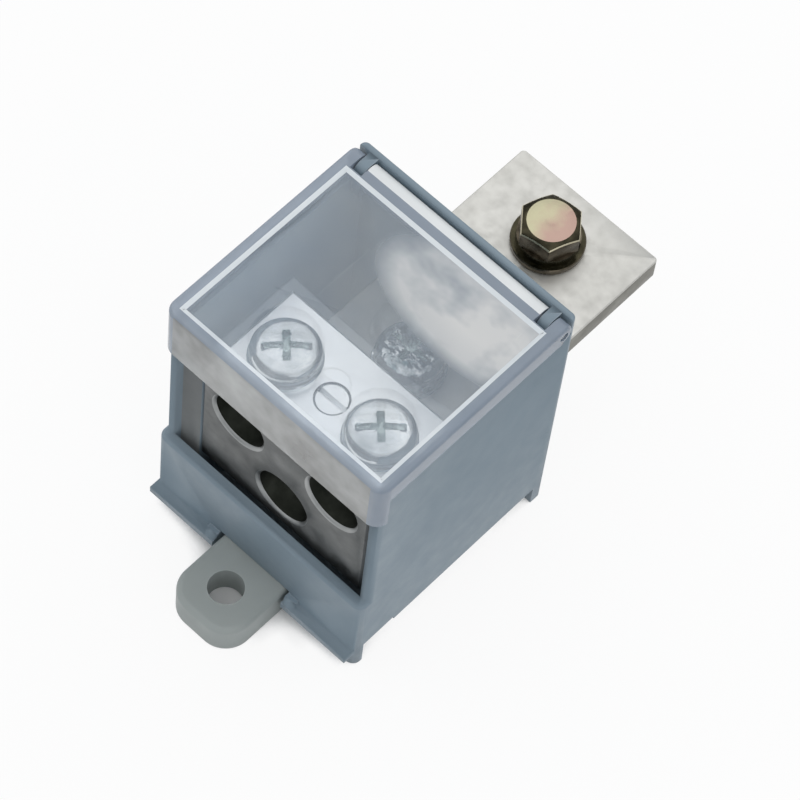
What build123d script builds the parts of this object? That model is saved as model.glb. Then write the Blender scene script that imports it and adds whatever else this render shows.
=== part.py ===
from build123d import *
import math
import os

os.makedirs("parts", exist_ok=True)

# Neutral terminal block: a moulded housing with a clear hinged cover, a drilled connector block with
# three cable bores, a busbar that leaves through the rear wall, and a sliding mounting lug.
# Millimetres. X runs along the cable side, Y from the cable side to the busbar, Z up.
# The origin lies under the middle of the whole part, on the plane that the feet stand on.

# Housing
housing_width = 60.0
housing_depth = 57.7
wall = 2.6
head_room = 6.2
corner_radius = 1.4
foot_thickness = 3.6
arch_height = 6.3
arch_front_height = 7.3
arch_front_length = 9.5
floor_thickness = 3.0
cable_clear = 0.4
band_step = 2.65
band_radius = 2.2
band_edge_radius = 0.9
lip_reach = 2.5
lip_thickness = 2.0
lip_top = 6.5
lip_boss_radius = 1.5
lip_boss_height = 1.4

# Cover
cover_rise = 5.25
cover_plate = 2.2
cover_wall = 2.1
cover_overhang = 0.6
cover_front = 1.6
cover_radius = 3.2
cover_gap = 0.25
fence_drop = 0.25
fence_gap = 0.3
fence_thickness = 1.6
cover_edge_radius = 0.9
fence_edge_radius = 0.6
skirt_drop = 9.4

# Hinge
ear_width = 2.5
ear_step = 0.375
ear_inset = 2.9
ear_gap = 0.35
ear_bite = 4.125
pin_radius = 1.1
pin_running = 0.05
pin_inset = 0.3

# Connector block
block_room_left = 5.7
block_room_right = 1.7
block_front = 2.0
block_lift = 12.6
block_height = 36.0
block_shelf = 7.0
screw_bay = 26.6
shelf_room = 1.9
block_edge = 0.6
cheek_gap = 0.2
cheek_drop = 5.0
bore_radius = 6.9
bore_end_wall = 4.5
bore_mouth = 0.7
bore_side = 10.3
bore_upper_drop = 10.5
bore_lower_rise = 10.0

# Threads, drawn as plain cylinders
thread_radius = 3.9
thread_gap = 0.1
thread_pitch = 1.25
screw_shift = 0.25

# Clamp screws and their captive washers
clamp_head_radius = 7.8
clamp_head_height = 4.6
clamp_crown = 0.7
clamp_round = 2.6
clamp_length = 9.0
clamp_washer_edge = 0.3
clamp_washer_thickness = 1.2
clamp_washer_gap = 0.3
recess_depth = 2.4
recess_length = 7.4
recess_taper = 8.0
recess_width = 1.7
slot_length = 10.6
slot_width = 1.4
slot_depth = 1.3

# Set screw over the lower bore, with its swivel pad
set_sink = 0.3
set_slot_width = 1.3
set_slot_depth = 2.0
set_clear = 1.2
pad_edge = 0.7
pad_thickness = 1.0
pad_stem_radius = 1.3
pad_stem_height = 1.6
pad_gap = 0.05

# Busbar
busbar_width = 40.0
busbar_thickness = 6.0
busbar_end = 101.5
busbar_gap = 0.3
busbar_corner = 1.0
busbar_slot_gap = 0.4
busbar_hole_gap = 0.6
busbar_screw_setback = 14.5
terminal_setback = 14.2

# Washers and hexagon fasteners
flat_radius = 8.4
flat_thickness = 1.6
flat_hole_gap = 0.3
spring_radius = 7.2
spring_thickness = 2.1
spring_hole_gap = 0.25
spring_split = 1.1
hex_flats = 13.0
hex_face_share = 0.42
bolt_turn = 9.0
bolt_head_height = 5.3
bolt_dimple_radius = 1.5
bolt_dimple_depth = 0.35
nut_height = 6.5
bolt_tail = 3.0

# Block fixing screws, driven from below
fixing_radius = 2.45
fixing_hole_gap = 0.3
fixing_head_radius = 4.5
fixing_head_sink = 0.2
fixing_bite = 9.0
fixing_side = 5.2
fixing_boss_radius = 4.6
fixing_slot_width = 1.0
fixing_slot_depth = 0.9

# Mounting slider
slider_reach = 20.8
slider_width = 19.0
slider_thickness = 8.0
slider_tail = 34.0
slider_corner = 6.5
slider_edge_radius = 1.4
slider_hole_radius = 4.1
slider_hole_setback = 9.4
slider_top_gap = 0.4
slider_side_gap = 0.4
slot_side_gap = 0.8
groove_depth = 1.5
groove_bottom = 3.0
groove_height = 2.4
tongue_gap = 0.2
slider_travel = 15.0
rail_width = 1.8
rail_room = 6.5
rail_lift = 0.5

# Places worked out from the sizes
front = -(busbar_end - slider_reach) / 2
back = front + housing_depth
inner_back = back - wall
half_width = housing_width / 2
inner_half = half_width - wall
band_face = front - band_step
floor_bottom = slider_thickness + slider_top_gap
floor_top = floor_bottom + floor_thickness
block_left = block_room_left - inner_half
block_right = inner_half - block_room_right
block_offset = (block_left + block_right) / 2
block_half = (block_right - block_left) / 2
block_face = front + block_front
block_back = inner_back - screw_bay
block_depth = block_back - block_face
block_bottom = floor_top + block_lift
block_top = block_bottom + block_height
shelf_top = block_bottom + block_shelf
shelf_end = inner_back - shelf_room
cheek_top = block_top - cheek_drop
bore_depth = block_depth - bore_end_wall
bore_half = block_half - bore_side
bore_upper = block_top - bore_upper_drop
bore_lower = block_bottom + bore_lower_rise
band_height = bore_lower - bore_radius - cable_clear
screw_y = (block_face + block_back) / 2 + screw_shift
clamp_washer_radius = clamp_head_radius + clamp_washer_edge
head_base = block_top + clamp_washer_thickness
wall_top = head_base + clamp_head_height + head_room
skirt_bottom = wall_top - skirt_drop
rim_bottom = wall_top + cover_gap
cover_top = rim_bottom + cover_rise
hinge_radius = cover_rise / 2
fence_top = cover_top - fence_drop
hinge_y = back - fence_thickness - fence_gap - hinge_radius
hinge_z = cover_top - hinge_radius
ear_radius = hinge_radius - ear_step
ear_foot = wall_top - ear_bite
ear_back = back - fence_thickness / 2
ear_outer = half_width - ear_inset
ear_inner = ear_outer - ear_width
cover_half = half_width + cover_overhang
cover_face = front - cover_front
skirt_back = cover_face + cover_radius
pad_radius = thread_radius - pad_edge
busbar_top = shelf_top + busbar_thickness
busbar_start = block_back + busbar_gap
busbar_back = front + busbar_end
busbar_screw_y = block_back + busbar_screw_setback
busbar_hole_radius = thread_radius + busbar_hole_gap
terminal_y = busbar_back - terminal_setback
flat_hole_radius = thread_radius + flat_hole_gap
spring_hole_radius = thread_radius + spring_hole_gap
stack_height = flat_thickness + spring_thickness
tip_y = front - slider_reach
slider_hole_y = tip_y + slider_hole_setback
slider_back = front + slider_tail
rail_end = housing_depth - rail_room
rail_inner = slider_width / 2 + slider_side_gap
rail_outer = rail_inner + rail_width
slot_half = slider_width / 2 + slot_side_gap
fixing_top = block_bottom + fixing_bite
fixing_hole_radius = fixing_radius + fixing_hole_gap
fixing_half = block_half - fixing_side
fixing_places = [(block_offset - fixing_half, screw_y), (block_offset + fixing_half, screw_y)]


# Housing: walls, stepped front band, feet, slider guides, block cradle and hinge ears
with BuildPart() as housing:
    with BuildSketch():
        with BuildLine():
            Polyline(
                (-half_width, front + 2 * wall),
                (-half_width, band_face),
                (half_width, band_face),
                (half_width, front + 2 * wall),
                close=True,
            )
        make_face()
        fillet(vertices().group_by(Axis.Y)[0], radius=band_radius)
    extrude(amount=band_height)
    band_rim = faces().sort_by(Axis.Z)[-1].edges().filter_by(lambda e: e.center().Y < front + 1.5 * wall)
    fillet(band_rim, radius=band_edge_radius)
    with BuildSketch():
        with Locations((0, (front + back) / 2)):
            RectangleRounded(housing_width, housing_depth, corner_radius)
    extrude(amount=wall_top)

    # Open inside, from the floor up and out through the cable window
    with BuildSketch(Plane.XY.offset(floor_top)):
        with Locations((0, (front + back - wall) / 2)):
            Rectangle(2 * inner_half, back - wall - front)
    extrude(amount=wall_top, mode=Mode.SUBTRACT)

    # Hollow under the floor and arches under the side walls
    with BuildSketch():
        with Locations((0, (front + back - foot_thickness) / 2)):
            Rectangle(2 * inner_half, back - foot_thickness - front)
    extrude(amount=floor_bottom, mode=Mode.SUBTRACT)
    for arch_start, arch_end, arch_top in (
        (front, front + arch_front_length, arch_front_height),
        (front + arch_front_length, back - foot_thickness, arch_height),
    ):
        with BuildSketch():
            with Locations((0, (arch_start + arch_end) / 2)):
                Rectangle(2 * housing_width, arch_end - arch_start)
        extrude(amount=arch_top, mode=Mode.SUBTRACT)

    # Lip along the foot of the band, with a small rounded boss at each inner end
    for side in (-1, 1):
        lip_end = half_width - band_radius / 3
        with BuildSketch(Plane.XY.offset(lip_top - lip_thickness)):
            with Locations((side * (slot_half + lip_end) / 2, band_face - lip_reach / 2 + wall / 4)):
                Rectangle(lip_end - slot_half, lip_reach + wall / 2)
        extrude(amount=lip_thickness)
        with BuildSketch(Plane.XY.offset(lip_top - lip_thickness)):
            with Locations((side * (slot_half + lip_boss_radius), band_face - lip_reach + lip_boss_radius)):
                Circle(lip_boss_radius)
            with Locations((side * (slot_half + lip_boss_radius), band_face + (lip_boss_radius - lip_reach) / 2)):
                Rectangle(2 * lip_boss_radius, lip_reach - lip_boss_radius)
        extrude(amount=lip_thickness + lip_boss_height)

    # Way through the band for the slider
    with BuildSketch(Plane.XZ.offset(-front)):
        with Locations((0, floor_bottom / 2)):
            Rectangle(2 * slot_half, floor_bottom)
    extrude(amount=band_step + lip_reach + wall, mode=Mode.SUBTRACT)

    # Guide rails, each with a tongue that runs in the slider's groove
    for side in (-1, 1):
        with BuildSketch(Plane.XY.offset(rail_lift)):
            with Locations((side * (rail_inner + rail_outer) / 2, front + rail_end / 2)):
                Rectangle(rail_outer - rail_inner, rail_end)
        extrude(amount=floor_bottom - rail_lift)
        tongue_start = front + slider_travel + 2 * groove_depth
        tongue_inner = slider_width / 2 - groove_depth + tongue_gap
        with BuildSketch(Plane.XY.offset(groove_bottom + tongue_gap)):
            with Locations((side * (tongue_inner + rail_inner) / 2, (tongue_start + front + rail_end) / 2)):
                Rectangle(rail_inner - tongue_inner, front + rail_end - tongue_start)
        extrude(amount=groove_height - 2 * tongue_gap)

    # Bosses and a rear rest that carry the connector block
    with BuildSketch(Plane.XY.offset(floor_bottom)):
        with Locations(*fixing_places):
            Circle(fixing_boss_radius)
        with Locations((block_offset, shelf_end - 2 * wall)):
            Rectangle(block_half, wall)
    extrude(amount=block_bottom - floor_bottom)
    with Locations(Plane.XY.offset(floor_bottom) * Rotation(180, 0, 0)):
        with Locations(*[(x, -y) for x, y in fixing_places]):
            CounterSinkHole(fixing_hole_radius, fixing_head_radius + fixing_head_sink, depth=block_bottom)

    # Cheeks that hold the block sideways and close the cable window beside it
    for cheek_side, cheek_wall in ((-inner_half, block_left - cheek_gap), (block_right + cheek_gap, inner_half)):
        with BuildSketch(Plane.XY.offset(floor_bottom)):
            with Locations(((cheek_side + cheek_wall) / 2, (block_face + block_back) / 2)):
                Rectangle(cheek_wall - cheek_side, block_depth)
        extrude(amount=cheek_top - floor_bottom)

    # Way out for the busbar
    with BuildSketch(Plane.XZ.offset(-back)):
        with Locations((0, (shelf_top + busbar_top) / 2)):
            Rectangle(busbar_width + 2 * busbar_slot_gap, busbar_thickness + 2 * busbar_slot_gap)
    extrude(amount=2 * wall, mode=Mode.SUBTRACT)

    # Room for the cover's skirt at the two front corners
    with BuildSketch(Plane.XY.offset(skirt_bottom - cover_gap)):
        with Locations((0, front)):
            Rectangle(2 * housing_width, 2 * (skirt_back + cover_gap - front))
    extrude(amount=wall_top, mode=Mode.SUBTRACT)

    # Fence along the rear wall, behind the cover's barrel
    with BuildSketch(Plane.XY.offset(wall_top)):
        with Locations((0, (front + back) / 2)):
            RectangleRounded(housing_width, housing_depth, corner_radius)
        with Locations((0, (front + back - fence_thickness) / 2)):
            Rectangle(2 * housing_width, back - fence_thickness - front, mode=Mode.SUBTRACT)
    extrude(amount=fence_top - wall_top)
    fence_rim = faces().sort_by(Axis.Z)[-1].edges().filter_by(lambda e: e.center().Y > back - fence_thickness + 0.01)
    fillet(fence_rim, radius=fence_edge_radius)

    # Hinge ears with the pin's bore, bracketed off the fence
    for side in (-1, 1):
        with BuildSketch(Plane.YZ.offset(side * (ear_inner + ear_outer) / 2)):
            with Locations((hinge_y, hinge_z)):
                Circle(ear_radius)
            with Locations(((hinge_y - ear_radius + ear_back) / 2, (ear_foot + hinge_z) / 2)):
                Rectangle(ear_back - hinge_y + ear_radius, hinge_z - ear_foot)
            with Locations(((hinge_y + ear_back) / 2, hinge_z)):
                Rectangle(ear_back - hinge_y, 2 * ear_radius)
            with Locations((hinge_y, hinge_z)):
                Circle(pin_radius, mode=Mode.SUBTRACT)
        extrude(amount=ear_width / 2, both=True)

housing.part.label = "housing"
export_step(housing.part, "parts/housing.step")


# Cover: clear plate, rim, front skirt and the barrel that turns on the pin
with BuildPart() as cover:
    with BuildSketch(Plane.XY.offset(skirt_bottom)):
        with BuildLine():
            Polyline(
                (-cover_half, hinge_y),
                (-cover_half, cover_face),
                (cover_half, cover_face),
                (cover_half, hinge_y),
                close=True,
            )
        make_face()
        fillet(vertices().group_by(Axis.Y)[0], radius=cover_radius)
    extrude(amount=cover_top - skirt_bottom)
    with BuildSketch(Plane.YZ):
        with Locations((hinge_y, hinge_z)):
            Circle(hinge_radius)
    extrude(amount=cover_half, both=True)
    rim_edges = edges().filter_by(lambda e: e.bounding_box().min.Z > cover_top - 0.01)
    fillet(rim_edges.filter_by(lambda e: e.center().Y < hinge_y - 0.01), radius=cover_edge_radius)

    # The skirt ends behind its two corners, and the rim goes on above the side walls
    with BuildSketch(Plane.XY.offset(skirt_bottom)):
        with Locations((0, (skirt_back + back) / 2)):
            Rectangle(2 * housing_width, back - skirt_back)
    extrude(amount=rim_bottom - skirt_bottom, mode=Mode.SUBTRACT)

    # Hollow inside the rim and behind the skirt
    with BuildSketch(Plane.XY.offset(skirt_bottom)):
        with BuildLine():
            Polyline(
                (cover_wall - cover_half, hinge_y - hinge_radius),
                (cover_wall - cover_half, cover_face + cover_wall),
                (cover_half - cover_wall, cover_face + cover_wall),
                (cover_half - cover_wall, hinge_y - hinge_radius),
                close=True,
            )
        make_face()
        fillet(vertices().group_by(Axis.Y)[0], radius=cover_radius - cover_wall)
    extrude(amount=cover_top - cover_plate - skirt_bottom, mode=Mode.SUBTRACT)

    # Gaps for the ears, then the bore for the pin
    for side in (-1, 1):
        with BuildSketch(Plane.XY.offset(rim_bottom)):
            gap_start = hinge_y - ear_radius - 2 * ear_gap
            with Locations((side * (ear_inner + ear_outer) / 2, (gap_start + back) / 2)):
                Rectangle(ear_width + 2 * ear_gap, back - gap_start)
        extrude(amount=2 * cover_top, both=True, mode=Mode.SUBTRACT)
    with BuildSketch(Plane.YZ):
        with Locations((hinge_y, hinge_z)):
            Circle(pin_radius + pin_running)
    extrude(amount=2 * housing_width, both=True, mode=Mode.SUBTRACT)

cover.part.label = "cover"
export_step(cover.part, "parts/cover.step")


# Hinge pin, held in the ears
with BuildPart() as hinge_pin:
    with BuildSketch(Plane.YZ):
        with Locations((hinge_y, hinge_z)):
            Circle(pin_radius)
    extrude(amount=cover_half - pin_inset, both=True)
    chamfer(edges().filter_by(GeomType.CIRCLE), length=pin_radius / 4)

hinge_pin.part.label = "hinge_pin"
export_step(hinge_pin.part, "parts/hinge_pin.step")


# Connector block: a stepped bar with three cable bores and the threads that clamp them
with BuildPart() as connector_block:
    with BuildSketch(Plane.YZ.offset(block_offset)):
        with BuildLine():
            Polyline(
                (block_face, block_bottom),
                (shelf_end, block_bottom),
                (shelf_end, shelf_top),
                (block_back, shelf_top),
                (block_back, block_top),
                (block_face, block_top),
                close=True,
            )
        make_face()
    extrude(amount=block_half, both=True)
    chamfer(edges().filter_by(lambda e: e.center().Z > block_top - 0.01 or e.center().Y < block_face + 0.01), length=block_edge)
    with BuildSketch(Plane.XZ.offset(-block_face)):
        with Locations((block_offset - bore_half, bore_upper), (block_offset + bore_half, bore_upper)):
            Circle(bore_radius)
        with Locations((block_offset, bore_lower)):
            Circle(bore_radius)
    extrude(amount=-bore_depth, mode=Mode.SUBTRACT)
    bore_mouths = faces().sort_by(Axis.Y)[0].inner_wires().edges()
    chamfer(bore_mouths, length=bore_mouth)
    with Locations((block_offset - bore_half, screw_y, block_top), (block_offset + bore_half, screw_y, block_top)):
        Hole(thread_radius + thread_gap, depth=block_top - bore_upper)
    with Locations((block_offset, screw_y, block_top)):
        Hole(thread_radius + thread_gap, depth=block_top - bore_lower)
    with Locations((0, busbar_screw_y, shelf_top)):
        Hole(thread_radius + thread_gap, depth=block_shelf)
    with Locations(*[Location((x, y, block_bottom), (180, 0, 0)) for x, y in fixing_places]):
        Hole(fixing_radius + thread_gap / 2, depth=fixing_bite + 2 * thread_gap)

connector_block.part.label = "connector_block"
export_step(connector_block.part, "parts/connector_block.step")


# Clamp screws: domed heads with a combined slot and cross recess, and a captive washer under each
for side_name, clamp_x in (("left", block_offset - bore_half), ("right", block_offset + bore_half)):
    with BuildPart() as clamp_screw:
        with BuildSketch(Plane.XZ.offset(-screw_y)):
            with BuildLine():
                Polyline(
                    (clamp_x, head_base - clamp_length),
                    (clamp_x + thread_radius, head_base - clamp_length),
                    (clamp_x + thread_radius, head_base),
                    (clamp_x + clamp_head_radius, head_base),
                    (clamp_x + clamp_head_radius, head_base + clamp_head_height - clamp_crown),
                    (clamp_x, head_base + clamp_head_height),
                    close=True,
                )
            make_face()
            fillet(vertices().group_by(Axis.X)[-1].sort_by(Axis.Y)[-1:], radius=clamp_round)
        revolve(axis=Axis((clamp_x, screw_y, 0), (0, 0, 1)))
        with BuildSketch(Plane.XY.offset(head_base + clamp_head_height)):
            with Locations((clamp_x, screw_y)):
                Rectangle(recess_length, recess_width, rotation=45)
                Rectangle(recess_width, recess_length, rotation=45)
        extrude(amount=-recess_depth, taper=recess_taper, mode=Mode.SUBTRACT)
        with BuildSketch(Plane.XY.offset(head_base + clamp_head_height)):
            with Locations((clamp_x, screw_y)):
                Rectangle(slot_length, slot_width, rotation=45)
        extrude(amount=-slot_depth, mode=Mode.SUBTRACT)
    clamp_screw.part.label = "clamp_screw_" + side_name
    export_step(clamp_screw.part, "parts/clamp_screw_" + side_name + ".step")

    with BuildPart() as clamp_washer:
        with BuildSketch(Plane.XY.offset(block_top)):
            with Locations((clamp_x, screw_y)):
                Circle(clamp_washer_radius)
                Circle(thread_radius + clamp_washer_gap, mode=Mode.SUBTRACT)
        extrude(amount=clamp_washer_thickness)
        chamfer(edges().filter_by(GeomType.CIRCLE).group_by(SortBy.RADIUS)[-1].sort_by(Axis.Z)[-1:], length=0.3)
    clamp_washer.part.label = "clamp_washer_" + side_name
    export_step(clamp_washer.part, "parts/clamp_washer_" + side_name + ".step")


# Set screw over the lower bore and the swivel pad in its tip
set_top = block_top - set_sink
pad_bottom = bore_lower + bore_radius + set_clear
set_bottom = pad_bottom + pad_thickness
with BuildPart() as set_screw:
    with Locations((block_offset, screw_y, (set_top + set_bottom) / 2)):
        Cylinder(thread_radius, set_top - set_bottom)
    chamfer(edges().filter_by(GeomType.CIRCLE), length=0.4)
    with BuildSketch(Plane.XY.offset(set_top)):
        with Locations((block_offset, screw_y)):
            Rectangle(2 * thread_radius, set_slot_width)
    extrude(amount=-set_slot_depth, mode=Mode.SUBTRACT)
    with Locations(Location((block_offset, screw_y, set_bottom), (180, 0, 0))):
        Hole(pad_stem_radius + pad_gap, depth=pad_stem_height + pad_gap)

set_screw.part.label = "set_screw"
export_step(set_screw.part, "parts/set_screw.step")

with BuildPart() as set_screw_pad:
    with BuildSketch(Plane.XY.offset(pad_bottom)):
        with Locations((block_offset, screw_y)):
            Circle(pad_radius)
    extrude(amount=pad_thickness)
    with BuildSketch(Plane.XY.offset(pad_bottom)):
        with Locations((block_offset, screw_y)):
            Circle(pad_stem_radius)
    extrude(amount=pad_thickness + pad_stem_height)

set_screw_pad.part.label = "set_screw_pad"
export_step(set_screw_pad.part, "parts/set_screw_pad.step")


# Busbar: a flat bar on the block's shelf, out through the rear wall to the terminal bolt
with BuildPart() as busbar:
    with BuildSketch(Plane.XY.offset(shelf_top)):
        with Locations((0, (busbar_start + busbar_back) / 2)):
            RectangleRounded(busbar_width, busbar_back - busbar_start, busbar_corner)
        with Locations((0, busbar_screw_y), (0, terminal_y)):
            Circle(busbar_hole_radius, mode=Mode.SUBTRACT)
    extrude(amount=busbar_thickness)
    chamfer(faces().sort_by(Axis.Z)[-1].outer_wire().edges(), length=0.3)

busbar.part.label = "busbar"
export_step(busbar.part, "parts/busbar.step")


# Busbar screw: domed head on its own washers, threaded into the shelf
busbar_head_base = busbar_top + stack_height
with BuildPart() as busbar_screw:
    with BuildSketch(Plane.XZ.offset(-busbar_screw_y)):
        with BuildLine():
            Polyline(
                (0, block_bottom),
                (thread_radius, block_bottom),
                (thread_radius, busbar_head_base),
                (clamp_head_radius, busbar_head_base),
                (clamp_head_radius, busbar_head_base + clamp_head_height - clamp_crown),
                (0, busbar_head_base + clamp_head_height),
                close=True,
            )
        make_face()
        fillet(vertices().group_by(Axis.X)[-1].sort_by(Axis.Y)[-1:], radius=clamp_round)
    revolve(axis=Axis((0, busbar_screw_y, 0), (0, 0, 1)))
    with BuildSketch(Plane.XY.offset(busbar_head_base + clamp_head_height)):
        with Locations((0, busbar_screw_y)):
            Rectangle(recess_length, recess_width)
            Rectangle(recess_width, recess_length)
    extrude(amount=-recess_depth, taper=recess_taper, mode=Mode.SUBTRACT)
    with BuildSketch(Plane.XY.offset(busbar_head_base + clamp_head_height)):
        with Locations((0, busbar_screw_y)):
            Rectangle(slot_length, slot_width)
    extrude(amount=-slot_depth, mode=Mode.SUBTRACT)

busbar_screw.part.label = "busbar_screw"
export_step(busbar_screw.part, "parts/busbar_screw.step")


# Flat washers: under the busbar screw, and above and below the busbar at the terminal bolt
for washer_name, washer_y, washer_bottom in (
    ("busbar_flat_washer", busbar_screw_y, busbar_top),
    ("terminal_flat_washer", terminal_y, busbar_top),
    ("terminal_lower_washer", terminal_y, shelf_top - flat_thickness),
):
    with BuildPart() as flat_washer:
        with BuildSketch(Plane.XY.offset(washer_bottom)):
            with Locations((0, washer_y)):
                Circle(flat_radius)
                Circle(flat_hole_radius, mode=Mode.SUBTRACT)
        extrude(amount=flat_thickness)
        chamfer(edges().filter_by(GeomType.CIRCLE).group_by(SortBy.RADIUS)[-1], length=0.2)
    flat_washer.part.label = washer_name
    export_step(flat_washer.part, "parts/" + washer_name + ".step")


# Split spring washers, drawn closed up as under a tight head
for washer_name, washer_y in (("busbar_spring_washer", busbar_screw_y), ("terminal_spring_washer", terminal_y)):
    with BuildPart() as spring_washer:
        with BuildSketch(Plane.XY.offset(busbar_top + flat_thickness)):
            with Locations((0, washer_y)):
                Circle(spring_radius)
                Circle(spring_hole_radius, mode=Mode.SUBTRACT)
        extrude(amount=spring_thickness)
        with BuildSketch(Plane.YZ):
            with BuildLine():
                Polyline(
                    (washer_y, busbar_top),
                    (washer_y + spring_split, busbar_top),
                    (washer_y + spring_split + stack_height, busbar_top + 2 * stack_height),
                    (washer_y + stack_height, busbar_top + 2 * stack_height),
                    close=True,
                )
            make_face()
        extrude(amount=2 * spring_radius, mode=Mode.SUBTRACT)
    spring_washer.part.label = washer_name
    export_step(spring_washer.part, "parts/" + washer_name + ".step")


# Terminal bolt: hexagon head with a chamfered top and a small dimple
hex_corner = hex_flats / math.sqrt(3)
bolt_base = busbar_top + stack_height
bolt_bottom = shelf_top - flat_thickness - nut_height - bolt_tail
bolt_face = hex_face_share * hex_flats
with BuildPart() as terminal_bolt:
    with BuildSketch(Plane.XY.offset(bolt_base)):
        with Locations((0, terminal_y)):
            RegularPolygon(hex_corner, 6, rotation=bolt_turn)
    extrude(amount=bolt_head_height)
    with BuildSketch(Plane.XZ.offset(-terminal_y)):
        with BuildLine():
            Polyline(
                (0, bolt_base),
                (2 * hex_corner, bolt_base),
                (2 * hex_corner, bolt_base + bolt_head_height - (2 * hex_corner - bolt_face) / 2),
                (bolt_face, bolt_base + bolt_head_height),
                (0, bolt_base + bolt_head_height),
                close=True,
            )
        make_face()
    revolve(axis=Axis((0, terminal_y, 0), (0, 0, 1)), mode=Mode.INTERSECT)
    with BuildSketch(Plane.XY.offset(bolt_bottom)):
        with Locations((0, terminal_y)):
            Circle(thread_radius)
    extrude(amount=bolt_base - bolt_bottom)
    chamfer(edges().filter_by(GeomType.CIRCLE).sort_by(Axis.Z)[:1], length=0.6)
    with Locations((0, terminal_y, bolt_base + bolt_head_height)):
        CounterSinkHole(0.05, bolt_dimple_radius, depth=bolt_dimple_depth, counter_sink_angle=150)

terminal_bolt.part.label = "terminal_bolt"
export_step(terminal_bolt.part, "parts/terminal_bolt.step")


# Terminal nut under the busbar
nut_top = shelf_top - flat_thickness
with BuildPart() as terminal_nut:
    with BuildSketch(Plane.XY.offset(nut_top - nut_height)):
        with Locations((0, terminal_y)):
            RegularPolygon(hex_corner, 6)
    extrude(amount=nut_height)
    with BuildSketch(Plane.XZ.offset(-terminal_y)):
        with BuildLine():
            Polyline(
                (0, nut_top - nut_height),
                (0.48 * hex_flats, nut_top - nut_height),
                (hex_corner, nut_top - nut_height + (hex_corner - 0.48 * hex_flats) / 2),
                (hex_corner, nut_top - (hex_corner - 0.48 * hex_flats) / 2),
                (0.48 * hex_flats, nut_top),
                (0, nut_top),
                close=True,
            )
        make_face()
    revolve(axis=Axis((0, terminal_y, 0), (0, 0, 1)), mode=Mode.INTERSECT)
    with Locations((0, terminal_y, nut_top)):
        Hole(thread_radius + thread_gap, depth=nut_height)

terminal_nut.part.label = "terminal_nut"
export_step(terminal_nut.part, "parts/terminal_nut.step")


# Block fixing screws: countersunk from below the floor up into the block
for side_name, (fixing_x, fixing_y) in zip(("left", "right"), fixing_places):
    head_depth = fixing_head_radius - fixing_radius
    fixing_base = floor_bottom + fixing_head_sink
    with BuildPart() as block_screw:
        with BuildSketch(Plane.XZ.offset(-fixing_y)):
            with BuildLine():
                Polyline(
                    (fixing_x, fixing_base),
                    (fixing_x + fixing_head_radius, fixing_base),
                    (fixing_x + fixing_radius, fixing_base + head_depth),
                    (fixing_x + fixing_radius, fixing_top),
                    (fixing_x, fixing_top),
                    close=True,
                )
            make_face()
        revolve(axis=Axis((fixing_x, fixing_y, 0), (0, 0, 1)))
        with BuildSketch(Plane.XY.offset(fixing_base)):
            with Locations((fixing_x, fixing_y)):
                Rectangle(2 * fixing_head_radius, fixing_slot_width)
        extrude(amount=fixing_slot_depth, mode=Mode.SUBTRACT)
    block_screw.part.label = "block_screw_" + side_name
    export_step(block_screw.part, "parts/block_screw_" + side_name + ".step")


# Mounting slider: a lug with a screw hole on a grooved tail that runs in the rails
with BuildPart() as mounting_slider:
    with BuildSketch():
        with BuildLine():
            Polyline(
                (-slider_width / 2, slider_back),
                (-slider_width / 2, tip_y),
                (slider_width / 2, tip_y),
                (slider_width / 2, slider_back),
                close=True,
            )
        make_face()
        fillet(vertices().group_by(Axis.Y)[0], radius=slider_corner)
    extrude(amount=slider_thickness)
    top_edges = faces().sort_by(Axis.Z)[-1].edges().filter_by(lambda e: e.center().Y < slider_back - 0.01)
    fillet(top_edges, radius=slider_edge_radius)
    groove_start = front + groove_depth
    with BuildSketch(Plane.XY.offset(groove_bottom)):
        for side in (-1, 1):
            with Locations((side * slider_width / 2, (groove_start + slider_back) / 2 + slider_corner)):
                Rectangle(2 * groove_depth, slider_back - groove_start + 2 * slider_corner)
    extrude(amount=groove_height, mode=Mode.SUBTRACT)
    with Locations((0, slider_hole_y, slider_thickness)):
        Hole(slider_hole_radius, depth=slider_thickness)

mounting_slider.part.label = "mounting_slider"
export_step(mounting_slider.part, "parts/mounting_slider.step")
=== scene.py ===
import math

import bmesh
import bpy
from mathutils import Matrix, Vector


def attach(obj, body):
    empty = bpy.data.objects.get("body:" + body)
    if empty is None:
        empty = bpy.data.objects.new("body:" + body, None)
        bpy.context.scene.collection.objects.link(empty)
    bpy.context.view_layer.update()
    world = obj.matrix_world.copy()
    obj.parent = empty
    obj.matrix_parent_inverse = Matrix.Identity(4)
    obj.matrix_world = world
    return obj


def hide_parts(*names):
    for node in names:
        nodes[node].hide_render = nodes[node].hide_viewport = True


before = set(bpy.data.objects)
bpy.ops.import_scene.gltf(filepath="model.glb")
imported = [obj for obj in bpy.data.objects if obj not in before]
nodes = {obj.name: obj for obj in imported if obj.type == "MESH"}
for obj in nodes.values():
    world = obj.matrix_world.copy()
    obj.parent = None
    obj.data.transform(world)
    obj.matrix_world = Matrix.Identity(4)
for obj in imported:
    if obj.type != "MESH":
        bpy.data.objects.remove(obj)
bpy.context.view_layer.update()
MM = 0.001

# Places in the shared frame, in mm
CLAMP_LEFT_X = -11.4
CLAMP_RIGHT_X = 15.4
CLAMP_Y = -24.85
CLAMP_TOP = 65.69
SET_SCREW_X = 2.0
BUSBAR_SCREW_Y = 2.65
BUSBAR_SCREW_TOP = 45.19
BOLT_Y = 46.95
BORES = ((CLAMP_LEFT_X, 49.5), (CLAMP_RIGHT_X, 49.5), (SET_SCREW_X, 34.0))
HOUSING_REAR = 17.0


# ---- materials ----

# The scale of a pattern that is the same in every direction
EVEN = (1.0, 1.0, 1.0)


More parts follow.
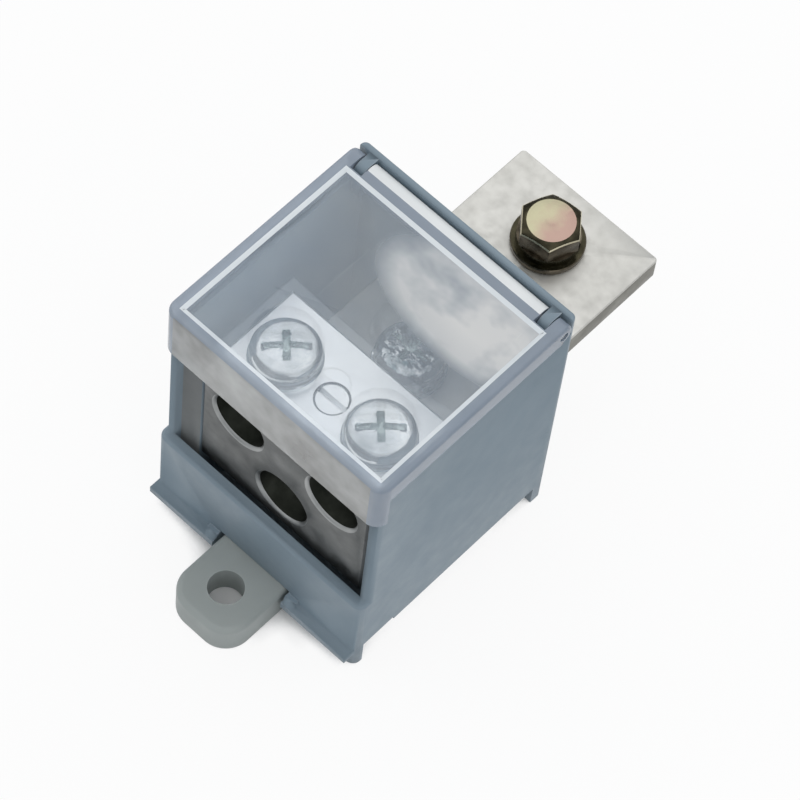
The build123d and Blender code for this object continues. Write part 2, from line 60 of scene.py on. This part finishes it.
def new_material(name):
    """An empty node material; returns the material, its nodes, its links and the shader."""
    material = bpy.data.materials.new(name)
    material.use_nodes = True
    tree = material.node_tree
    return material, tree.nodes, tree.links, tree.nodes["Principled BSDF"]


def object_place(made, links, scale=EVEN, centre=(0.0, 0.0, 0.0)):
    """Object coordinates through a Mapping node, so that a pattern keeps its size in metres."""
    place = made.new("ShaderNodeTexCoord")
    mapping = made.new("ShaderNodeMapping")
    mapping.vector_type = "POINT"
    mapping.inputs["Scale"].default_value = scale
    mapping.inputs["Location"].default_value = [-c * s for c, s in zip(centre, scale)]
    links.new(place.outputs["Object"], mapping.inputs["Vector"])
    return mapping.outputs["Vector"]


def noise(made, links, vector, scale, detail=3.0, roughness=0.55):
    """A cloudy noise from 0 to 1."""
    texture = made.new("ShaderNodeTexNoise")
    texture.inputs["Scale"].default_value = scale
    texture.inputs["Detail"].default_value = detail
    texture.inputs["Roughness"].default_value = roughness
    links.new(vector, texture.inputs["Vector"])
    return texture.outputs["Fac"]


def ramp(made, links, value, stops):
    """A colour ramp of (place, colour) stops."""
    band = made.new("ShaderNodeValToRGB")
    elements = band.color_ramp.elements
    elements[1].position = stops[-1][0]
    elements[1].color = (*stops[-1][1], 1.0)
    elements[0].position = stops[0][0]
    elements[0].color = (*stops[0][1], 1.0)
    for place, colour in stops[1:-1]:
        elements.new(place).color = (*colour, 1.0)
    links.new(value, band.inputs["Fac"])
    return band.outputs["Color"]


def grey(value):
    """The colour that is this bright in all three parts."""
    return (value, value, value)


def bump(made, links, height, strength, distance, below=None):
    """A normal that follows the height, laid over another normal where there is one."""
    node = made.new("ShaderNodeBump")
    node.inputs["Strength"].default_value = strength
    node.inputs["Distance"].default_value = distance
    links.new(height, node.inputs["Height"])
    if below is not None:
        links.new(below, node.inputs["Normal"])
    return node.outputs["Normal"]


def painted_edge_highlight(made, links, radius, wear_and_edge_highlight):
    """How near a face is to an edge, as a painted highlight: 0 on the flats, up to the given strength
    on an edge.
    """
    soft = made.new("ShaderNodeBevel")
    soft.samples = 4
    soft.inputs["Radius"].default_value = radius
    shape = made.new("ShaderNodeNewGeometry")
    apart = made.new("ShaderNodeVectorMath")
    apart.operation = "DOT_PRODUCT"
    links.new(soft.outputs["Normal"], apart.inputs[0])
    links.new(shape.outputs["Normal"], apart.inputs[1])
    return ramp(made, links, apart.outputs["Value"], [(0.75, grey(wear_and_edge_highlight)), (0.985, grey(0.0))])


def maths(made, links, operation, *values):
    """A Math node whose inputs are numbers or other nodes' outputs, in order."""
    node = made.new("ShaderNodeMath")
    node.operation = operation
    for entry, value in zip(node.inputs, values):
        if isinstance(value, float):
            entry.default_value = value
        else:
            links.new(value, entry)
    return node.outputs[0]


def mixed(made, links, share, first, second):
    """A blend from the first colour to the second, which is a colour or a node's output."""
    blend = made.new("ShaderNodeMix")
    blend.data_type = "RGBA"
    links.new(share, blend.inputs["Factor"])
    links.new(first, blend.inputs["A"])
    if isinstance(second, tuple):
        blend.inputs["B"].default_value = (*second, 1.0)
    else:
        links.new(second, blend.inputs["B"])
    return blend.outputs["Result"]


def moulded_plastic(name, dark, light, roughness, edge_highlight):
    """Moulded plastic: cloudy colour, edges painted paler as a highlight, a fine eroded grain and a
    slow waviness.
    """
    material, made, links, shader = new_material(name)
    place = object_place(made, links)
    cloud = noise(made, links, place, 48.0, 4.0)
    colour = ramp(made, links, cloud, [(0.3, dark), (0.7, light)])
    # The edges are painted paler: a painted highlight where the moulding rounds off.
    colour = mixed(made, links, painted_edge_highlight(made, links, 0.0005, 0.55), colour, edge_highlight)
    links.new(colour, shader.inputs["Base Color"])
    wave = bump(made, links, noise(made, links, place, 70.0, 2.0), 0.18, 0.0004)
    grain = noise(made, links, place, 3200.0, 2.0)
    links.new(bump(made, links, grain, 0.3, 0.00004, wave), shader.inputs["Normal"])
    patch = noise(made, links, place, 240.0)
    shine = ramp(made, links, patch, [(0.3, grey(roughness - 0.06)), (0.7, grey(roughness + 0.06))])
    links.new(shine, shader.inputs["Roughness"])
    shader.inputs["IOR"].default_value = 1.5
    return material


def metal(
    name, dark, light, roughness,
    brush=EVEN, brush_scale=900.0, depth=0.00002, patch=120.0, dents=0.0,
):
    """Plated or tinned metal: patchy tone, fine marks, uneven shine and, where asked, shallow dents."""
    material, made, links, shader = new_material(name)
    place = object_place(made, links)
    along = object_place(made, links, brush)
    tone = noise(made, links, place, patch, 5.0)
    links.new(ramp(made, links, tone, [(0.32, dark), (0.68, light)]), shader.inputs["Base Color"])
    wear_and_edge_highlight = noise(made, links, place, 320.0)
    shine = ramp(made, links, wear_and_edge_highlight, [(0.3, grey(roughness * 0.8)), (0.72, grey(roughness * 1.25))])
    links.new(shine, shader.inputs["Roughness"])
    marks = noise(made, links, along, brush_scale, 3.0)
    uneven = None
    if dents:
        uneven = bump(made, links, noise(made, links, place, 520.0, 2.0), 0.9, dents)
    links.new(bump(made, links, marks, 0.4, depth, uneven), shader.inputs["Normal"])
    shader.inputs["Metallic"].default_value = 1.0
    return material


def clear_plastic(name, dark, light, alpha, clearness, roughness, cloud=45.0, wave=0.15):
    """Clear moulded plastic: a cloudy haze, uneven gloss and a slightly wavy surface."""
    material, made, links, shader = new_material(name)
    place = object_place(made, links)
    haze = noise(made, links, place, cloud, 3.0)
    links.new(ramp(made, links, haze, [(0.32, dark), (0.7, light)]), shader.inputs["Base Color"])
    gloss = noise(made, links, place, 160.0)
    shine = ramp(made, links, gloss, [(0.35, grey(roughness * 0.6)), (0.75, grey(roughness * 1.4))])
    links.new(shine, shader.inputs["Roughness"])
    swell = noise(made, links, place, 90.0, 0.0)
    links.new(bump(made, links, swell, wave, 0.0004), shader.inputs["Normal"])
    shader.inputs["Transmission Weight"].default_value = clearness
    shader.inputs["IOR"].default_value = 1.49
    shader.inputs["Alpha"].default_value = alpha
    return material


# The window's opacity where it is clear, what the full painted glare adds to it, and where the painted
# glare lies
WINDOW_ALPHA = 0.36
GLARE_ALPHA = 0.5
GLARE_CENTRE = (0.0165, 0.002, 0.0771)
GLARE_SCALE = (36.0, 80.0, 36.0)


def window_with_painted_glare(name, dark, light, glare):
    """The cover's window: clear plastic with a painted glare, a cloud of pale reflection, on its rear
    right.
    """
    material = clear_plastic(name, dark, light, WINDOW_ALPHA, 0.3, 0.08, 60.0, 0.06)
    made = material.node_tree.nodes
    links = material.node_tree.links
    shader = made["Principled BSDF"]
    # A painted reflection: a pale cloudy glare, strongest at the rear right, which also makes the
    # window less clear there.
    cloud = noise(made, links, object_place(made, links, (1.0, 1.5, 1.0)), 70.0, 3.0, 0.5)
    patches = ramp(made, links, cloud, [(0.38, grey(0.45)), (0.56, grey(1.0))])
    spot = made.new("ShaderNodeTexGradient")
    spot.gradient_type = "SPHERICAL"
    links.new(object_place(made, links, GLARE_SCALE, GLARE_CENTRE), spot.inputs["Vector"])
    fade = [(0.0, grey(0.0)), (0.25, grey(0.8)), (0.7, grey(1.0))]
    reach = ramp(made, links, spot.outputs["Fac"], fade)
    share = maths(made, links, "MULTIPLY", patches, reach)
    clean = shader.inputs["Base Color"].links[0].from_socket
    links.new(mixed(made, links, share, clean, glare), shader.inputs["Base Color"])
    opacity = maths(made, links, "MULTIPLY_ADD", share, GLARE_ALPHA, WINDOW_ALPHA)
    links.new(opacity, shader.inputs["Alpha"])
    return material


def interference_zinc(name, green, pink, roughness):
    """Yellow passivated zinc on the bolt's face: green to pink across it, with a turned grain."""
    material, made, links, shader = new_material(name)
    place = object_place(made, links, EVEN, (0.0, BOLT_Y * MM, 0.0))
    split = made.new("ShaderNodeSeparateXYZ")
    links.new(place, split.inputs["Vector"])
    across = maths(made, links, "MULTIPLY_ADD", split.outputs["X"], 70.0, 0.5)
    mottle = noise(made, links, place, 260.0, 3.0)
    tint = maths(made, links, "MULTIPLY_ADD", mottle, 0.6, across)
    links.new(ramp(made, links, tint, [(0.55, green), (1.05, pink)]), shader.inputs["Base Color"])
    rings = made.new("ShaderNodeTexWave")
    rings.wave_type = "RINGS"
    rings.rings_direction = "Z"
    rings.inputs["Scale"].default_value = 500.0
    rings.inputs["Distortion"].default_value = 1.5
    links.new(place, rings.inputs["Vector"])
    links.new(bump(made, links, rings.outputs["Fac"], 0.25, 0.00002), shader.inputs["Normal"])
    shader.inputs["Roughness"].default_value = roughness
    shader.inputs["Metallic"].default_value = 1.0
    return material


housing_grey = moulded_plastic(
    "housing_grey", (0.182, 0.24, 0.286), (0.21, 0.27, 0.318),
    roughness=0.46, edge_highlight=(0.36, 0.41, 0.45),
)
# The cheeks' front faces: housing plastic painted darker and greyer as painted shade.
cheek_painted_shade = moulded_plastic(
    "cheek_painted_shade", (0.17, 0.18, 0.182), (0.23, 0.242, 0.245),
    roughness=0.5, edge_highlight=(0.4, 0.42, 0.43),
)
# Under the cover: the housing's plastic painted paler, as painted light for the brightness seen through
# the cover.
inside_painted_light = moulded_plastic(
    "inside_painted_light", (0.28, 0.355, 0.415), (0.33, 0.405, 0.465),
    roughness=0.5, edge_highlight=(0.38, 0.43, 0.47),
)
slider_grey = moulded_plastic(
    "slider_grey", (0.295, 0.325, 0.318), (0.335, 0.365, 0.357),
    roughness=0.5, edge_highlight=(0.47, 0.5, 0.49),
)
clear_window_with_glare = window_with_painted_glare(
    "clear_window_with_glare", (0.68, 0.78, 0.9), (0.82, 0.9, 0.97),
    glare=(0.97, 0.97, 0.96),
)
underside_clear = clear_plastic(
    "underside_clear", (0.7, 0.78, 0.86), (0.84, 0.9, 0.95),
    alpha=0.08, clearness=0.5, roughness=0.08,
)
rim_clear = clear_plastic(
    "rim_clear", (0.31, 0.37, 0.45), (0.39, 0.45, 0.53),
    alpha=0.88, clearness=0.3, roughness=0.16,
)
# The step round the window: painted pale as the highlight line along it.
step_painted_highlight = clear_plastic(
    "step_painted_highlight", (0.8, 0.86, 0.91), (0.92, 0.96, 0.98),
    alpha=0.95, clearness=0.2, roughness=0.2,
)
# The skirt: frosted grey plastic whose cloudy light and dark patches are painted reflection.
skirt_frost_and_glare = clear_plastic(
    "skirt_frost_and_glare", (0.3, 0.3, 0.29), (0.66, 0.67, 0.66),
    alpha=0.78, clearness=0.3, roughness=0.16, cloud=85.0, wave=0.3,
)
# The barrel: painted near white as the highlight along its top.
barrel_painted_highlight = clear_plastic(
    "barrel_painted_highlight", (0.86, 0.89, 0.9), (0.95, 0.97, 0.97),
    alpha=0.97, clearness=0.2, roughness=0.2,
)

block_top = metal(
    "block_top", (0.84, 0.86, 0.87), (0.95, 0.96, 0.96),
    roughness=0.36, brush=(1.0, 6.0, 1.0), brush_scale=500.0, depth=0.00001, patch=60.0,
)
# The block's front and sides: the same metal painted darker as shade and dark reflection.
block_front_painted_shade = metal(
    "block_front_painted_shade", (0.155, 0.16, 0.16), (0.22, 0.227, 0.227),
    roughness=0.52, brush=(3.0, 1.0, 1.0), brush_scale=300.0, depth=0.000004, patch=60.0,
)
# The bores and the set screw's hole: painted near black as the shade inside them.
bore_painted_shade = metal("bore_painted_shade", (0.012, 0.014, 0.011), (0.04, 0.043, 0.036), roughness=0.5)
bore_mouth = metal("bore_mouth", (0.3, 0.31, 0.31), (0.42, 0.43, 0.43), roughness=0.42)
tinned_bar = metal(
    "tinned_bar", (0.62, 0.61, 0.575), (0.68, 0.67, 0.635),
    roughness=0.55, brush=(1.0, 8.0, 1.0), brush_scale=400.0, depth=0.000004, patch=70.0,
)
# The bar's sides: the tinned metal painted darker as shade.
bar_side_painted_shade = metal(
    "bar_side_painted_shade", (0.2, 0.197, 0.18), (0.3, 0.295, 0.27),
    roughness=0.5, brush=(1.0, 1.0, 8.0), brush_scale=400.0, depth=0.000006, patch=70.0,
)
bright_zinc = metal(
    "bright_zinc", (0.4, 0.43, 0.44), (0.9, 0.92, 0.92),
    roughness=0.16, brush=EVEN, brush_scale=1500.0, depth=0.00001, dents=0.00012,
)
shaded_zinc = metal("shaded_zinc", (0.16, 0.19, 0.21), (0.28, 0.32, 0.34), roughness=0.25)
recess_zinc = metal(
    "recess_zinc", (0.3, 0.39, 0.37), (0.55, 0.62, 0.6),
    roughness=0.25, patch=400.0, dents=0.0008,
)
# Bay metal: dark teal to white patches, painted as the glints and dark reflections deep in the bay.
bay_zinc_painted_glints = metal(
    "bay_zinc_painted_glints", (0.04, 0.1, 0.11), (1.0, 1.0, 1.0),
    roughness=0.15, patch=300.0, dents=0.0005,
)
disc_zinc = interference_zinc(
    "disc_zinc", (0.54, 0.51, 0.345), (0.49, 0.34, 0.285),
    roughness=0.42,
)
# Zinc painted near black as the shade and dark reflection on the bolt's chamfer and the washers.
zinc_painted_dark = metal(
    "zinc_painted_dark", (0.026, 0.024, 0.016), (0.08, 0.072, 0.045),
    roughness=0.24, patch=260.0, dents=0.0001,
)
# Passivated zinc painted dark brown as the shade and dark reflection on the flats.
brown_zinc_painted_dark = metal(
    "brown_zinc_painted_dark", (0.05, 0.042, 0.03), (0.16, 0.135, 0.1),
    roughness=0.28, patch=320.0, dents=0.0001,
)
# Zinc painted pale as the highlight on the bolt's edges.
edge_zinc_painted_highlight = metal("edge_zinc_painted_highlight", (0.5, 0.46, 0.33), (0.72, 0.66, 0.5), roughness=0.3)
under_zinc = metal("under_zinc", (0.3, 0.26, 0.16), (0.45, 0.38, 0.24), roughness=0.3)
pin_steel = metal("pin_steel", (0.5, 0.51, 0.52), (0.62, 0.63, 0.64), roughness=0.3)
pad_brass = metal("pad_brass", (0.6, 0.44, 0.18), (0.72, 0.55, 0.25), roughness=0.3)

finish_by_node = {
    "housing": housing_grey,
    "set_screw": block_top,
    "hinge_pin": pin_steel,
    "mounting_slider": slider_grey,
    "set_screw_pad": pad_brass,
    "terminal_lower_washer": under_zinc,
    "terminal_nut": under_zinc,
}
for name in nodes:
    mesh = nodes[name].data
    mesh.materials.clear()
    mesh.materials.append(finish_by_node.get(name, bright_zinc))


# ---- pieces that carry more than one finish ----

def merged_copy(name):
    """The loose triangles of a CAD node, joined into one shape."""
    shape = bmesh.new()
    shape.from_mesh(nodes[name].data)
    bmesh.ops.remove_doubles(shape, verts=shape.verts, dist=0.000002)
    bmesh.ops.recalc_face_normals(shape, faces=shape.faces)
    return shape


def cut_across(shape, place, direction):
    """A cut through the whole shape, so that two finishes can meet on a straight line."""
    everything = shape.verts[:] + shape.edges[:] + shape.faces[:]
    bmesh.ops.bisect_plane(shape, geom=everything, dist=0.000001, plane_co=place, plane_no=direction)


def finished(name, shape, finishes, body, node, flats=()):
    """The shape as an object with its finishes, in place of the CAD node, riding on the node's body."""
    mesh = bpy.data.meshes.new(name)
    for face in shape.faces:
        square = max(abs(part) for part in face.normal) > 0.9999
        face.smooth = not square and face.material_index not in flats
    shape.to_mesh(mesh)
    shape.free()
    mesh.set_sharp_from_angle(angle=math.radians(28))
    for finish in finishes:
        mesh.materials.append(finish)
    piece = bpy.data.objects.new(name, mesh)
    bpy.context.scene.collection.objects.link(piece)
    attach(piece, body)
    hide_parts(node)


def put_finish(shape, choose):
    """Each face gets the number that choose gives for its middle, in mm, and its normal."""
    for face in shape.faces:
        face.material_index = choose(face.calc_center_median() / MM, face.normal)


# Cover: a window stepped down inside the rim with a painted highlight on the step, the rim, the skirt
# frosted grey with painted mottled reflection, and the barrel painted pale as a highlight
WINDOW, RIM, SKIRT, BARREL, STEP, UNDERSIDE = range(6)
cover_finishes = [clear_window_with_glare, rim_clear, skirt_frost_and_glare, barrel_painted_highlight, step_painted_highlight, underside_clear]
WINDOW_X = 28.2
WINDOW_FRONT = -39.5
WINDOW_BACK = 9.6
SKIRT_X = 27.6
SKIRT_BACK = -38.7
BARREL_FRONT = 11.9
BARREL_X = 24.4
TOP_NEAR = 77.4
STEP_WIDTH = 1.0
STEP_DEPTH = 0.4
cover_shape = merged_copy("cover")
for x in (WINDOW_X, SKIRT_X, BARREL_X):
    for side in (x, -x):
        cut_across(cover_shape, (side * MM, 0, 0), (1, 0, 0))
for y in (WINDOW_FRONT, WINDOW_BACK, SKIRT_BACK, BARREL_FRONT):
    cut_across(cover_shape, (0, y * MM, 0), (0, 1, 0))
window_faces = []
for face in cover_shape.faces:
    middle = face.calc_center_median() / MM
    inside = abs(middle.x) < WINDOW_X and WINDOW_FRONT < middle.y < WINDOW_BACK
    if face.normal.z > 0.99 and middle.z > TOP_NEAR and inside:
        window_faces.append(face)
step = bmesh.ops.inset_region(
    cover_shape, faces=window_faces, use_even_offset=True,
    thickness=STEP_WIDTH * MM, depth=-STEP_DEPTH * MM,
)


def cover_finish(middle, normal):
    # the barrel's top gets the painted highlight
    if middle.y > BARREL_FRONT:
        return BARREL if abs(middle.x) < BARREL_X and normal.z > 0.1 else RIM
    if normal.z < -0.9 and middle.z > 74.0 and abs(middle.x) < 28.6 and middle.y > -40.0:
        return UNDERSIDE
    if middle.y < SKIRT_BACK and abs(normal.z) < 0.6 and abs(middle.x) < SKIRT_X:
        return SKIRT
    if middle.z < 72.2 and abs(middle.x) < SKIRT_X:
        return SKIRT
    inside = abs(middle.x) < WINDOW_X - 0.1 and WINDOW_FRONT + 0.1 < middle.y < WINDOW_BACK - 0.1
    return WINDOW if inside and normal.z > 0.9 else RIM


put_finish(cover_shape, cover_finish)
# the step's faces get the painted highlight
for face in step["faces"]:
    face.material_index = STEP
finished("clear_cover", cover_shape, cover_finishes, "cover", "cover")


# Housing: blue-grey moulding, painted paler under the cover as painted light, and painted darker on the
# cheeks' front faces beside the block as painted shade
OUTSIDE, CHEEK, INSIDE = range(3)
housing_finishes = [housing_grey, cheek_painted_shade, inside_painted_light]


def housing_finish(middle, normal):
    beside_block = -27.5 < middle.x < -21.6 or 25.6 < middle.x < 27.5
    # the cheeks' front faces get the painted shade
    if beside_block and normal.y < -0.9 and -39.5 < middle.y < -30.0 and 15.0 < middle.z < 66.0:
        return CHEEK
    # walls under the cover get the painted light
    under_cover = abs(middle.x) < 27.6 and -39.0 < middle.y < 14.9 and 26.0 < middle.z < 71.9
    return INSIDE if under_cover else OUTSIDE


housing_shape = merged_copy("housing")
put_finish(housing_shape, housing_finish)
finished("moulded_housing", housing_shape, housing_finishes, "base", "housing")


# Connector block: pale milled top, a front painted darker as shade and dark reflection, bores painted
# dark as shade with a bright chamfered mouth
BLOCK_TOP, BLOCK_SIDE, BORE, BORE_MOUTH = range(4)
BORE_REACH = 6.95
MOUTH_REACH = 7.66
THREAD_HOLE_REACH = 4.3
block_finishes = [block_top, block_front_painted_shade, bore_painted_shade, bore_mouth]


def block_finish(middle, normal):
    for bore_x, bore_z in BORES:
        off = math.hypot(middle.x - bore_x, middle.z - bore_z)
        # bore walls get the painted shade
        if off < BORE_REACH and -37.9 < middle.y < -10:
            return BORE
        if off < MOUTH_REACH and middle.y < -37.0 and abs(normal.y) < 0.98:
            return BORE_MOUTH
    if normal.z > 0.7:
        return BLOCK_TOP
    off = math.hypot(middle.x - SET_SCREW_X, middle.y - CLAMP_Y)
    if off < THREAD_HOLE_REACH and abs(normal.z) < 0.7 and middle.z > 40:
        return BORE
    # the other faces get the front's painted shade
    return BLOCK_SIDE


block_shape = merged_copy("connector_block")
put_finish(block_shape, block_finish)
finished("drilled_block", block_shape, block_finishes, "base", "connector_block")


# Domed screws: bright crown, shaded side, greenish recess
CROWN, HEAD_SIDE, RECESS = range(3)
RECESS_REACH = 5.35


def domed_screw(node, body, x, y, top, finishes):
    def screw_finish(middle, normal):
        off = math.hypot(middle.x - x, middle.y - y)
        wall_or_floor = abs(normal.z) < 0.6 or (middle.z < top - 1.1 and normal.z > 0.6)
        if off < RECESS_REACH and middle.z > top - 4.0 and wall_or_floor:
            return RECESS
        if middle.z > top - 4.6 and normal.z < 0.3:
            return HEAD_SIDE
        return CROWN

    shape = merged_copy(node)
    put_finish(shape, screw_finish)
    finished(node + "_finished", shape, finishes, body, node)


clamp_finishes = [bright_zinc, shaded_zinc, recess_zinc]
# The bay screw's crown carries the painted glints.
bay_finishes = [bay_zinc_painted_glints, shaded_zinc, recess_zinc]
for node, body, x, y, top, finishes in (
    ("clamp_screw_left", "left_clamp", CLAMP_LEFT_X, CLAMP_Y, CLAMP_TOP, clamp_finishes),
    ("clamp_screw_right", "right_clamp", CLAMP_RIGHT_X, CLAMP_Y, CLAMP_TOP, clamp_finishes),
    ("busbar_screw", "base", 0.0, BUSBAR_SCREW_Y, BUSBAR_SCREW_TOP, bay_finishes),
):
    domed_screw(node, body, x, y, top, finishes)


def without_seams(name):
    """A CAD node's shape with its flat faces whole again, so that edges can be bevelled."""
    shape = merged_copy(name)
    bmesh.ops.dissolve_limit(shape, angle_limit=math.radians(1.0), verts=shape.verts, edges=shape.edges)
    return shape


def broken_edges(shape, edges, width):
    """Bevels the edges by the width in mm and returns the new faces."""
    made = bmesh.ops.bevel(
        shape, geom=edges, affect="EDGES", offset=width * MM, offset_type="OFFSET",
        segments=2, profile=0.5, material=-1,
    )
    return made["faces"]


# Terminal bolt: pale disc, chamfer and flats painted dark as shade and dark reflection, edges between
# them painted bright as a highlight
DISC, CHAMFER, FLAT, PAINTED_EDGE = range(4)
HEAD_BOTTOM = 40.75
PAINTED_EDGE_ABOVE = 41.0
DISC_DIMPLE = 2.2
bolt_finishes = [disc_zinc, zinc_painted_dark, brown_zinc_painted_dark, edge_zinc_painted_highlight]
bolt_shape = without_seams("terminal_bolt")


def bolt_finish(middle, normal):
    if middle.z > HEAD_BOTTOM:
        if normal.z > 0.97 or math.hypot(middle.x, middle.y - BOLT_Y) < DISC_DIMPLE:
            return DISC
        if normal.z > 0.3:
            return CHAMFER
        if normal.z > -0.5:
            return FLAT
    return CHAMFER


put_finish(bolt_shape, bolt_finish)
# edges between chamfer and flats get the painted highlight
edge_highlight = []
for edge in bolt_shape.edges:
    if len(edge.link_faces) == 2:
        kinds = sorted(face.material_index for face in edge.link_faces)
        height = (edge.verts[0].co.z + edge.verts[1].co.z) / 2 / MM
        if kinds == [CHAMFER, FLAT] and height > PAINTED_EDGE_ABOVE:
            edge_highlight.append(edge)
for face in broken_edges(bolt_shape, edge_highlight, 0.22):
    face.material_index = PAINTED_EDGE
finished(
    "hexagon_bolt", bolt_shape, bolt_finishes,
    "terminal_bolt", "terminal_bolt", flats=(FLAT,),
)


# Washers under the bolt and under the busbar screw, painted as shade and dark reflection, with another
# tone on their outer edge
PLATE, OUTER_EDGE = range(2)


def ringed(node, body, y, radius, finishes):
    def washer_finish(middle, normal):
        off = math.hypot(middle.x, middle.y - y)
        return OUTER_EDGE if off > radius - 0.5 and normal.z < 0.9 else PLATE

    shape = merged_copy(node)
    put_finish(shape, washer_finish)
    finished(node + "_finished", shape, finishes, body, node)


# Their tones are painted shade and dark reflection; the bay washer's plate carries the painted glints.
for node, y, radius, finishes, slot_name in (
    ("terminal_flat_washer", BOLT_Y, 8.4, [zinc_painted_dark, brown_zinc_painted_dark], "passivated_zinc"),
    ("terminal_spring_washer", BOLT_Y, 7.2, [brown_zinc_painted_dark, zinc_painted_dark], "passivated_zinc"),
    ("busbar_flat_washer", BUSBAR_SCREW_Y, 8.4, [bay_zinc_painted_glints, shaded_zinc], "plated_screw"),
    ("busbar_spring_washer", BUSBAR_SCREW_Y, 7.2, [shaded_zinc, recess_zinc], "plated_screw"),
):
    ringed(node, "base", y, radius, finishes)


# Busbar: satin faces with thin broken edges, with painted shade on the sides behind the housing
BAR_FACE, BAR_SIDE = range(2)
bar_shape = without_seams("busbar")
bar_edges = []
for edge in bar_shape.edges:
    if len(edge.link_faces) == 2 and edge.calc_face_angle(0.0) > math.radians(60):
        bar_edges.append(edge)
broken_edges(bar_shape, bar_edges, 0.2)


def bar_finish(middle, normal):
    return BAR_SIDE if abs(normal.z) < 0.3 and middle.y > HOUSING_REAR else BAR_FACE


put_finish(bar_shape, bar_finish)
finished("flat_busbar", bar_shape, [tinned_bar, bar_side_painted_shade], "base", "busbar")


# ---- floor, light and camera ----

def floor_finish():
    """A floor that glows white to the camera and in metal and plastic, but not in a deep nook."""
    material, made, links, shader = new_material("studio_floor")
    shader.inputs["Base Color"].default_value = (0.86, 0.86, 0.86, 1.0)
    shader.inputs["Roughness"].default_value = 0.9
    path = made.new("ShaderNodeLightPath")
    glow = made.new("ShaderNodeEmission")
    glow.inputs["Color"].default_value = (1.0, 1.0, 1.0, 1.0)
    glow.inputs["Strength"].default_value = 1.0
    seen = maths(made, links, "MAXIMUM", path.outputs["Is Camera Ray"], path.outputs["Is Glossy Ray"])
    seen = maths(made, links, "MAXIMUM", seen, path.outputs["Is Transmission Ray"])
    nook = made.new("ShaderNodeAmbientOcclusion")
    nook.samples = 8
    nook.inputs["Distance"].default_value = 12.0 * MM
    shade = ramp(made, links, nook.outputs["AO"], [(0.3, grey(0.0)), (0.5, grey(0.9))])
    mix = made.new("ShaderNodeMixShader")
    links.new(maths(made, links, "MULTIPLY", seen, shade), mix.inputs[0])
    links.new(shader.outputs[0], mix.inputs[1])
    links.new(glow.outputs[0], mix.inputs[2])
    links.new(mix.outputs[0], made["Material Output"].inputs["Surface"])
    return material


FLOOR_SIZE = 3.0
FLOOR_DROP = 0.2
floor_shape = bmesh.new()
bmesh.ops.create_grid(floor_shape, x_segments=1, y_segments=1, size=FLOOR_SIZE)
bmesh.ops.translate(floor_shape, verts=floor_shape.verts, vec=(0.0, 0.0, -FLOOR_DROP * MM))
floor_mesh = bpy.data.meshes.new("floor")
floor_shape.to_mesh(floor_mesh)
floor_shape.free()
floor_mesh.materials.append(floor_finish())
floor = bpy.data.objects.new("floor", floor_mesh)
bpy.context.scene.collection.objects.link(floor)

# The room: pale overhead and greyer near the horizon, which gives the metal something to show
world = bpy.data.worlds.new("studio")
bpy.context.scene.world = world
world.use_nodes = True
room = world.node_tree
sky = room.nodes.new("ShaderNodeTexCoord")
height = room.nodes.new("ShaderNodeSeparateXYZ")
room.links.new(sky.outputs["Generated"], height.inputs["Vector"])
room_tones = [(0.0, (0.38, 0.4, 0.42)), (0.3, (0.5, 0.52, 0.54)), (0.75, (0.82, 0.83, 0.84))]
room_colour = ramp(room.nodes, room.links, height.outputs["Z"], room_tones)
room.links.new(room_colour, room.nodes["Background"].inputs["Color"])
room.nodes["Background"].inputs["Strength"].default_value = 1.0


LIT_POINT = Vector((0.0, 0.0, 0.04))


def soft_light(name, place, size, watts):
    """A rectangular softbox that faces the lit point, with its width as near as may be to X."""
    lamp = bpy.data.lights.new(name, "AREA")
    lamp.shape = "RECTANGLE"
    lamp.size = size[0]
    lamp.size_y = size[1]
    lamp.energy = watts
    away = (Vector(place) - LIT_POINT).normalized()
    width = Vector((1.0, 0.0, 0.0))
    width = (width - away * width.dot(away)).normalized()
    facing = Matrix((width, away.cross(width), away)).transposed().to_4x4()
    holder = bpy.data.objects.new(name, lamp)
    holder.matrix_world = Matrix.Translation(place) @ facing
    bpy.context.scene.collection.objects.link(holder)


soft_light("top_box", (-0.15, 0.35, 0.9), (1.8, 1.6), 3.8)
soft_light("left_box", (-0.9, -0.5, 0.5), (0.9, 0.8), 0.7)
soft_light("right_box", (0.9, -0.3, 0.45), (0.8, 0.8), 0.9)

# The camera at the photo's viewing angle, as fitted to the photo's corners and edges
CAMERA_PLACE = (0.251106, -0.339890, 0.778096)
camera_data = bpy.data.cameras.new("camera")
camera_data.lens = 179.91
camera_data.sensor_width = 36.0
camera_data.sensor_fit = "HORIZONTAL"
camera_data.clip_end = 10.0
camera = bpy.data.objects.new("camera", camera_data)
right = Vector((0.72632, 0.68402, 0.06757))
up = Vector((-0.62305, 0.61367, 0.48499))
back = Vector((0.29028, -0.39436, 0.87190))
turn = Matrix((right, up, back)).transposed()
camera.matrix_world = Matrix.Translation(CAMERA_PLACE) @ turn.to_4x4()
bpy.context.scene.collection.objects.link(camera)
bpy.context.scene.camera = camera
bpy.context.scene.view_settings.view_transform = "Standard"
